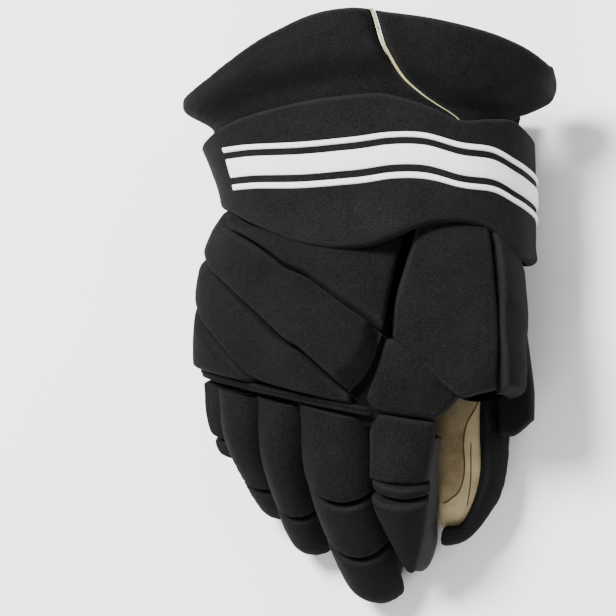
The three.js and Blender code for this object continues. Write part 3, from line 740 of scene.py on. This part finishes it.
# %% Pads along the fingers
def finger_pad(name, on, sides, first, last, point=(0.0, 0.0), thick=9, **rest):
    """sides is (left, right) at the start, or ((left, right), (left, right)) for start and end; point is how far the
    middle of the start and of the end lies further along."""
    (l0, r0), (l1, r1) = sides if isinstance(sides[0], tuple) else (sides, sides)
    start = [(first, l0), (first + point[0], (l0 + r0) / 2), (first, r0)]
    end = [(last, l1), (last + point[1], (l1 + r1) / 2), (last, r1)]
    tube_pad(name, fingers[on].widened(0.42), patch(start, end, cols=44, rows=44), thick, **rest)


BLOCK = dict(roll=(3, 3, 2.5, 2.5), crown=0.5)
finger_pad("pinky_pad_1", "pinky", ((-70, 78), (-56, 74)), -0.07, 0.6, (0, 0.03), seed=11, **BLOCK)
finger_pad("pinky_pad_2", "pinky", (-62, 72), 0.618, 0.95, (0.03, 0), seed=12, **BLOCK)
finger_pad("ring_pad_1", "ring", (-82, 82), -0.08, 0.6, (0, 0.03), seed=13, **BLOCK)
finger_pad("ring_pad_2", "ring", (-76, 76), 0.615, 0.95, (0.03, 0), seed=14, **BLOCK)
finger_pad("middle_pad_1", "middle", (-84, 84), -0.085, 0.315, (0, 0.05), seed=15, slopes=[(1, 15, 3)], **BLOCK)
finger_pad("middle_pad_2", "middle", (-80, 80), 0.328, 0.6, (0.05, 0.05), seed=16, slopes=[(1, 14, 3)], **BLOCK)
finger_pad("middle_pad_3", "middle", (-78, 78), 0.613, 0.97, (0.05, 0), seed=17, slopes=[(1, 12, 2)], **BLOCK)
free_pad("index_pad_1",
         patch([(369, 412, 81), (386, 414, 84), (410, 418, 83), (434, 421, 77)],
               [(367, 478, 73), (385, 482, 77), (405, 483, 76), (427, 481, 70)],
               right=[(434, 421, 77), (434, 440, 76), (431, 460, 73), (427, 481, 70)], cols=50, rows=44),
         12, seed=18, roll=(4, 4, 3, 2.5), crown=0.5)
finger_pad("index_roll", "index", (-72, 72), 0.276, 0.328, thick=5, seed=19, roll=(3, 3, 2, 2), pucker=0.1)
tube_pad("index_pad_2", fingers["index"],
         patch([(0.343, -62), (0.342, 0), (0.34, 70)], [(0.775, -2), (0.8, 12), (0.77, 26)],
               left=[(0.343, -62), (0.48, -40), (0.58, -24), (0.68, -12), (0.775, -2)],
               right=[(0.34, 70), (0.5, 62), (0.6, 54), (0.69, 42), (0.77, 26)], cols=44, rows=60),
         9, seed=20, **BLOCK)

side_ground = fingers["pinky"].widened(1.0)
for name, (first, last), seed in [("pinky_side_pad_1", (-0.04, 0.37), 21), ("pinky_side_pad_2", (0.385, 0.53), 22)]:
    tube_pad(name, side_ground, patch([(first, -118), (first, -64)], [(last, -118), (last, -62)], cols=40, rows=40),
             17, roll=(8, 6, 4, 4), seed=seed)

# %% [markdown]
# ## The seam over the knuckles
#
# A doubled cord is sewn into the seam between the back and the fingers. A Blender curve with a bevel could stand for
# it, but its ends are flat. So each cord is a ring of points carried along the seam on the hand, which narrows to a
# point at both ends. The thumb's seam thread, and a dark thread that paints the shade in a fold, are made so too.


# %% Cords on a tube
def corded(name, paths, radii, finish, nodes, sides=14):
    """Rings round each path, in the plane across it, and a point at both ends. Paths are n by 3, in millimetres."""
    mesh = bpy.data.meshes.new(name)
    points, faces, lays = [], [], []
    turn = np.linspace(0, 2 * np.pi, sides + 1)[None, :, None]
    for path, radius in zip(paths, radii):
        ahead = unit(np.gradient(path, axis=0))
        across = unit(np.cross(ahead, [0.1, 0.2, 1.0]))
        over = np.cross(ahead, across)
        swell = radius * np.sqrt(1 - np.clip(np.abs(np.linspace(-1, 1, len(path))) * 1.04 - 0.04, 0, 1) ** 14)
        ring = np.cos(turn) * across[:, None] + np.sin(turn) * over[:, None]
        rings = path[:, None] + swell[:, None, None] * ring
        base = sum(len(p) for p in points)
        points.append(rings.reshape(-1, 3))
        faces.append(quads(np.arange(rings.shape[0] * rings.shape[1]).reshape(rings.shape[:2])) + base)
        lays.append(np.stack(spans(rings), -1).reshape(-1, 2))
    points, faces, lays = np.concatenate(points), np.concatenate(faces), np.concatenate(lays)
    mesh.from_pydata(((points + SHIFT) * MM).tolist(), [], faces.tolist())
    mesh.uv_layers.new(name="lay").data.foreach_set("uv", (lays[faces.ravel()] * MM).ravel())
    mesh.attributes.new("seam", "FLOAT", "POINT").data.foreach_set("value", np.zeros(len(points)))
    return settle(name, mesh, finish, nodes)


WELT = [(0.982, -96), (0.984, -74), (0.99, -48), (0.99, -22), (0.978, 0), (0.968, 14), (0.962, 30)]
WELT_CORDS = [(-0.009, 7.2, 1.5), (0.011, 6.4, 1.6)]  # how far along, how far off the hand, radius
welt = curve(WELT, even(160))
corded("knuckle_welt", [hand.skin(welt[:, 0] + by, welt[:, 1], off) for by, off, _ in WELT_CORDS],
       [radius for _, _, radius in WELT_CORDS], PAD_CLOTH, ["knuckle_welt"])
print("fingers made")

# %% [markdown]
# ## The thumb
#
# The thumb is stiffer than the fingers: one long pad on top, one on its side, a lobe that stands off its outer side
# and a rolled rim round its end, where the cream leather inside shows. The rim could be a cord, but it is flat and
# wide, so it is a pad too, bent round the thumb's end. The leather's seam is a thin thread, and a fold beside it is
# a thin dark thread too, which paints the shade in the fold.

# %% Thumb pads
free_pad("thumb_top_pad",
         patch([(418, 222, 91), (453, 220, 91), (488, 224, 87)],
               [(391, 337, 88), (413, 357, 88), (435, 377, 88), (458, 396, 86), (477, 393, 86), (494, 389, 85)],
               left=[(418, 222, 91), (405, 265, 93), (394, 302, 91), (391, 337, 88)],
               right=[(488, 224, 87), (493, 280, 89), (496, 335, 89), (494, 389, 85)], cols=76, rows=70),
         16, roll=(3, 3, 12, 3), slopes=[(1, 7, 1.2), (0, 7, 1.2), (3, 6, 1.2)], crown=0.5, seed=31)
tube_pad("thumb_side_pad", thumb_base,
         patch([(0.24, 38), (0.3, 92)], [(1.03, 33), (1.0, 92)], cols=40, rows=56),
         11, roll=(2.5, 8, 12, 4), seed=32)
free_pad("thumb_outer_lobe",
         patch([(503, 336, 50), (516, 333, 50), (529, 334, 46)], [(500, 436, 38), (516, 437, 38), (536, 421, 36)],
               right=[(529, 334, 46), (532, 358, 44), (536, 392, 40), (536, 421, 36)], cols=50, rows=44),
         14, roll=(3, 6, 5, 6), seed=33)
RIM_INSIDE = [(0.0, 38), (0.16, 44), (0.32, 50), (0.5, 51), (0.66, 46), (0.79, 32), (0.87, 10), (0.87, -18)]
RIM_OUTSIDE = [(0.0, 104), (0.18, 108), (0.36, 108), (0.54, 102), (0.7, 96), (0.86, 84), (0.98, 46), (0.99, -50)]
tube_pad("thumb_rim_pad", thumb_tip,
         patch([(0.0, 38), (0.0, 70), (0.0, 104)], [(0.87, -18), (0.93, -34), (0.99, -50)],
               left=RIM_INSIDE, right=RIM_OUTSIDE, cols=36, rows=90),
         7, roll=(3, 5, 4, 4), seed=34)

# %% Seam, and painted shade in a fold, on the thumb's leather
THUMB_FOLD = [(0.36, 33), (0.48, 31), (0.6, 30), (0.7, 27), (0.79, 22)]
# The fold's path carries a dark thread that is painted shade, where the leather's fold lies in shadow.
seam_and_fold_shade_paths = [curve(THUMB_SEAM, even(160)), curve(THUMB_FOLD, even(90))]
corded("thumb_seam_and_fold_shade", [thumb_tip.skin(path[:, 0], path[:, 1], 0.15) for path in seam_and_fold_shade_paths], (0.42, 0.3),
       BROWN_THREAD_AND_FOLD_SHADE, [], sides=8)
print("thumb made")

# %% [markdown]
# ## The wrist band
#
# A wide band of finer weave wraps the wrist. Its lower edge is turned over a cord and stands proud of the hand, so it
# throws a shadow on the pads below. It could be cut from the cuff's tube with a boolean, but then its edges would be
# hard. So it is one strip with a thick round lower edge and a thin upper one.

# %% The band
BAND_THICK, CUFF_HEM, BAND_SEED, BAND_ROUGH = 5.8, 3.0, 41, 0.7
BAND_FLARE, FLARE_FROM, FLARE_OVER = 4, -40, 45  # millimetres, and degrees towards the little finger


def band_place(angle, share):
    """A share of the band's height as a share of the cuff's tube."""
    low, high = edge_at("low", angle), edge_at("high", angle)
    return low + (high - low) * share


def band_flare(angle, share):
    """How far the band's upper part stands out further on the little finger's side."""
    return BAND_FLARE * np.clip((FLARE_FROM - angle) / FLARE_OVER, 0, 1) * np.clip(share, 0, 1)


def wrist_band():
    angle, share = np.meshgrid(np.linspace(-120, 120, 220), crowded(60, 0.9))
    at, flare = band_place(angle, share), band_flare(angle, share)
    surface = lambda height: cuff.skin(at, angle, height + CUFF_HEM + flare * (height > PAD_GAP))
    cushion("wrist_band", surface, at.shape, BAND_THICK, ["wrist_band"], roll=(4, 4, 4.2, 2.5), slopes=[(2, 9, -0.9)],
            seed=BAND_SEED, finish=BAND_CLOTH, slot="band", rough=BAND_ROUGH, pucker=0.12, fill=0.3)


wrist_band()

# %% [markdown]
# ## The stripe
#
# Three strips of raised satin stitch run round the band: threads laid side by side over a thin layer of felt. They
# could be painted on with the band's material, but stitching stands proud and catches the light along its edges. So
# each strip is a thin body of its own, which follows the band's uneven face and is rounded along its sides and ends.

# %% The stripe on the band
STRIPES = {"stripe_low": (-11, 3.2), "stripe_mid": (0, 11), "stripe_high": (11, 3.2)}  # centre and width
STRIPE_FROM, STRIPE_TO, STRIPE_END, STRIPE_SHARE = -50, 114, 1.2, 0.53
STRIPE_TALL, STRIPE_LIFT, STRIPE_SUNK, ROUND = 0.9, 0.12, 0.9, 0.98


def stripe(name, centre, width):
    """A strip on the band's face. It rises by the root of 1 - across to the fourth."""
    turn, across = np.meshgrid(
        np.linspace(STRIPE_FROM, STRIPE_TO, 420), np.sin(np.linspace(-np.pi / 2, np.pi / 2, 15)))
    low, high = edge_at("low", turn), edge_at("high", turn)
    tall = np.linalg.norm(cuff.skin(high, turn) - cuff.skin(low, turn), axis=-1)
    share = STRIPE_SHARE + (centre + across * width / 2) / tall
    at, flare = band_place(turn, share), band_flare(turn, share)
    ground = PAD_GAP + CUFF_HEM + flare
    middle = cuff.skin(at, turn, ground + BAND_THICK * 0.6)
    face = ground + BAND_THICK + uneven(middle, BAND_ROUGH, BAND_SEED) + STRIPE_LIFT
    ends = np.clip(np.minimum(turn - STRIPE_FROM, STRIPE_TO - turn) / STRIPE_END, 0, 1)
    rise = STRIPE_TALL * np.sqrt(1 - across**4 * ROUND) * np.sqrt(1 - (1 - ends) ** 2 * ROUND)
    outer, inner = cuff.skin(at, turn, face + rise), cuff.skin(at, turn, face - STRIPE_SUNK)
    body(name, outer, inner, WHITE_THREAD, [], slot=None)


for stripe_name, (centre, width) in STRIPES.items():
    stripe(stripe_name, centre, width)

# %% [markdown]
# ## The cuff
#
# The cuff flares away from the wrist in three panels. The two upper ones are thick and meet in a seam that runs down
# from the mouth, with a pale frayed trim standing in it. Under the band they are thin. Each could be a flat pattern
# bent with modifiers, but its outline is known only as it is seen, bent. So the panels are cut on the bent tube, and
# swell from the hem under the band to their full thickness above it.

# %% Panels of the cuff
SEAM = np.array([[0.0, 50], [0.3, 48], [0.48, 42], [0.56, 32], [0.63, 24], [0.72, 16], [0.84, 10], [1.0, 6]], float)
LOBE = np.array([[0.0, 68], [0.5, 68], [0.62, 78], [0.8, 97], [1.0, 112]], float)
HIGH_CLEAR, SWELL, SEAM_HALF, CUFF_GROUND, CUFF_LEAST = 0.05, 0.1, 0.6, 0.3, 1.5
WING_MIDDLE, WING_FROM, WING_OVER, WING_UP = 5, 50, 45, 0.035  # the panels' outer parts, in degrees


def column_of(table, share):
    return through(table[:, 0], table[:, 1:], share)[..., 0]


def cuff_place(angle, share):
    """A share of a panel's height as a share of the cuff's tube."""
    low, mouth = edge_at("low", angle) + CUFF_TUCK, edge_at("mouth", angle)
    return low + (mouth - low) * share


def eased(share):
    """From 0 to 1, level at both ends."""
    return share**2 * (3 - 2 * share)


def above_band(at, angle):
    """0 up to a little above the band, then 1 within a short way."""
    return np.clip((at - HIGH_CLEAR - edge_at("high", angle)) / SWELL, 0, 1)


def cuff_panel(name, thick, left, right, cols, roll, seed, slopes=(), wing=4.5, rows=80):
    """left and right give the angles of its sides at a share of its height. The outer parts stand out by the wing."""
    v = crowded(rows, 0.9)[:, None]
    u = crowded(cols, 0.9)[None]
    angle = left(v) * (1 - u) + right(v) * u
    at = cuff_place(angle, v + 0 * u)
    swell = eased(above_band(at, angle))
    out = np.clip((np.abs(angle - WING_MIDDLE) - WING_FROM) / WING_OVER, 0, 1)
    at = at + WING_UP * out * v * (angle < 0)
    hem = CUFF_GROUND + CUFF_HEM * (1 - swell) + wing * eased(out) * swell
    surface = lambda height: cuff.skin(at, angle, np.where(
        height <= PAD_GAP, CUFF_GROUND, hem + np.maximum(height - PAD_GAP, CUFF_LEAST) * swell))
    cushion(name, surface, at.shape, thick, [name], roll=roll, slopes=slopes, seed=seed, rough=0.6)


cuff_panel("cuff_back", 13, lambda v: -126 + 0 * v, lambda v: column_of(SEAM, v) - SEAM_HALF, 150, (8, 6, 0, 5), 51,
           slopes=[(3, 13, 3.5), (1, 9, 2)])
cuff_panel("cuff_thumb", 13, lambda v: column_of(SEAM, v) + SEAM_HALF, lambda v: column_of(LOBE, v), 110,
           (5, 9, 0, 9), 52)
cuff_panel("cuff_palm", 5, lambda v: 121 + 0 * v, lambda v: 233.5 + 0 * v, 90, (3, 3, 0, 3), 53, wing=0)

# %% The trim in the seam
TRIM_HALF, TRIM_LOW, TRIM_RISE, FRAY, FRAY_WAVE = 0.42, 3, 5.4, 0.9, 3.2
trim_v, trim_u = crowded(140, 0.5)[:, None], np.linspace(-1, 1, 7)[None]
trim_angle = column_of(SEAM, trim_v) + trim_u * TRIM_HALF
trim_at = cuff_place(trim_angle, trim_v + 0 * trim_u)
trim_fray = lumps(cuff.skin(trim_at, trim_angle), FRAY_WAVE, 61) * FRAY
trim_height = TRIM_LOW + (TRIM_RISE + trim_fray) * above_band(trim_at, trim_angle)
body("cuff_seam_trim", cuff.skin(trim_at, trim_angle, trim_height), cuff.skin(trim_at, trim_angle, CUFF_GROUND),
     PALE_TRIM, ["cuff_seam_trim"], slot="trim")
print("cuff made")

# %% [markdown]
# ## Floor, light and camera
#
# A pale floor and large soft lights, as in a product photograph. One bright world alone would light the glove evenly
# and hide its bevels. So the main lamp stands high on the left, with weak ones on the right and in front, so that the
# pads' bevels read against their faces. The camera stands where the photograph was taken from, with a long lens.

# %% Floor
paper = Finish("paper", 0.9, specular=0.2)
paper.finish(Base_Color=paper.blend(paper.noise(12), (0.93, 0.93, 0.935), (0.95, 0.95, 0.955)))
mesh = bpy.data.meshes.new("floor")
FLOOR = 3.0  # metres from the middle to a side
mesh.from_pydata([(x * FLOOR, y * FLOOR, 0) for x, y in [(-1, -1), (1, -1), (1, 1), (-1, 1)]], [], [(0, 1, 2, 3)])
mesh.materials.append(paper.material)
floor = bpy.data.objects.new("floor", mesh)
bpy.context.scene.collection.objects.link(floor)


# %% Lights
AIM = Vector((0, 0, 0.05))


def lamp(name, place, size, power):
    """A round soft lamp that points at the glove: place and size in metres, power in watts."""
    light = bpy.data.lights.new(name, "AREA")
    light.shape, light.size, light.energy = "DISK", size, power
    holder = bpy.data.objects.new(name, light)
    bpy.context.scene.collection.objects.link(holder)
    holder.location = place
    holder.rotation_euler = (AIM - Vector(place)).to_track_quat("-Z", "Y").to_euler()


lamp("main", (-0.7, 0.8, 1.8), 0.8, 136)
lamp("right", (1.5, 0.3, 1.2), 1.2, 8)
lamp("front", (-0.2, -1.6, 1.2), 1.2, 20)
world = bpy.data.worlds.new("studio")
world.use_nodes = True
world.node_tree.nodes["Background"].inputs["Color"].default_value = (1, 1, 1, 1)
world.node_tree.nodes["Background"].inputs["Strength"].default_value = 0.72
bpy.context.scene.world = world

# %% Camera
LENS, SENSOR, DEPTH = 200.0, 36.0, 80.0
middle = RIGHT * ((PHOTO / 2 - AIM_COLUMN) * PIXEL + AIM_RIGHT) + UP * AIM_UP + BACK * DEPTH + ORIGIN_SHIFT
lens = bpy.data.cameras.new("camera")
lens.lens, lens.sensor_width, lens.clip_start, lens.clip_end = LENS, SENSOR, 0.05, 20
camera = bpy.data.objects.new("camera", lens)
bpy.context.scene.collection.objects.link(camera)
place = (middle + BACK * PHOTO * PIXEL * LENS / SENSOR) * MM
turn = np.stack([unit(RIGHT), unit(np.cross(BACK, RIGHT)), unit(BACK)], 1)
camera.matrix_world = Matrix.Translation(place.tolist()) @ Matrix(turn.tolist()).to_4x4()
bpy.context.scene.camera = camera
print("camera at", place.round(3))

# %% [markdown]
# ## The cloth over the solids
#
# The cloth may stand a little proud of the solids.
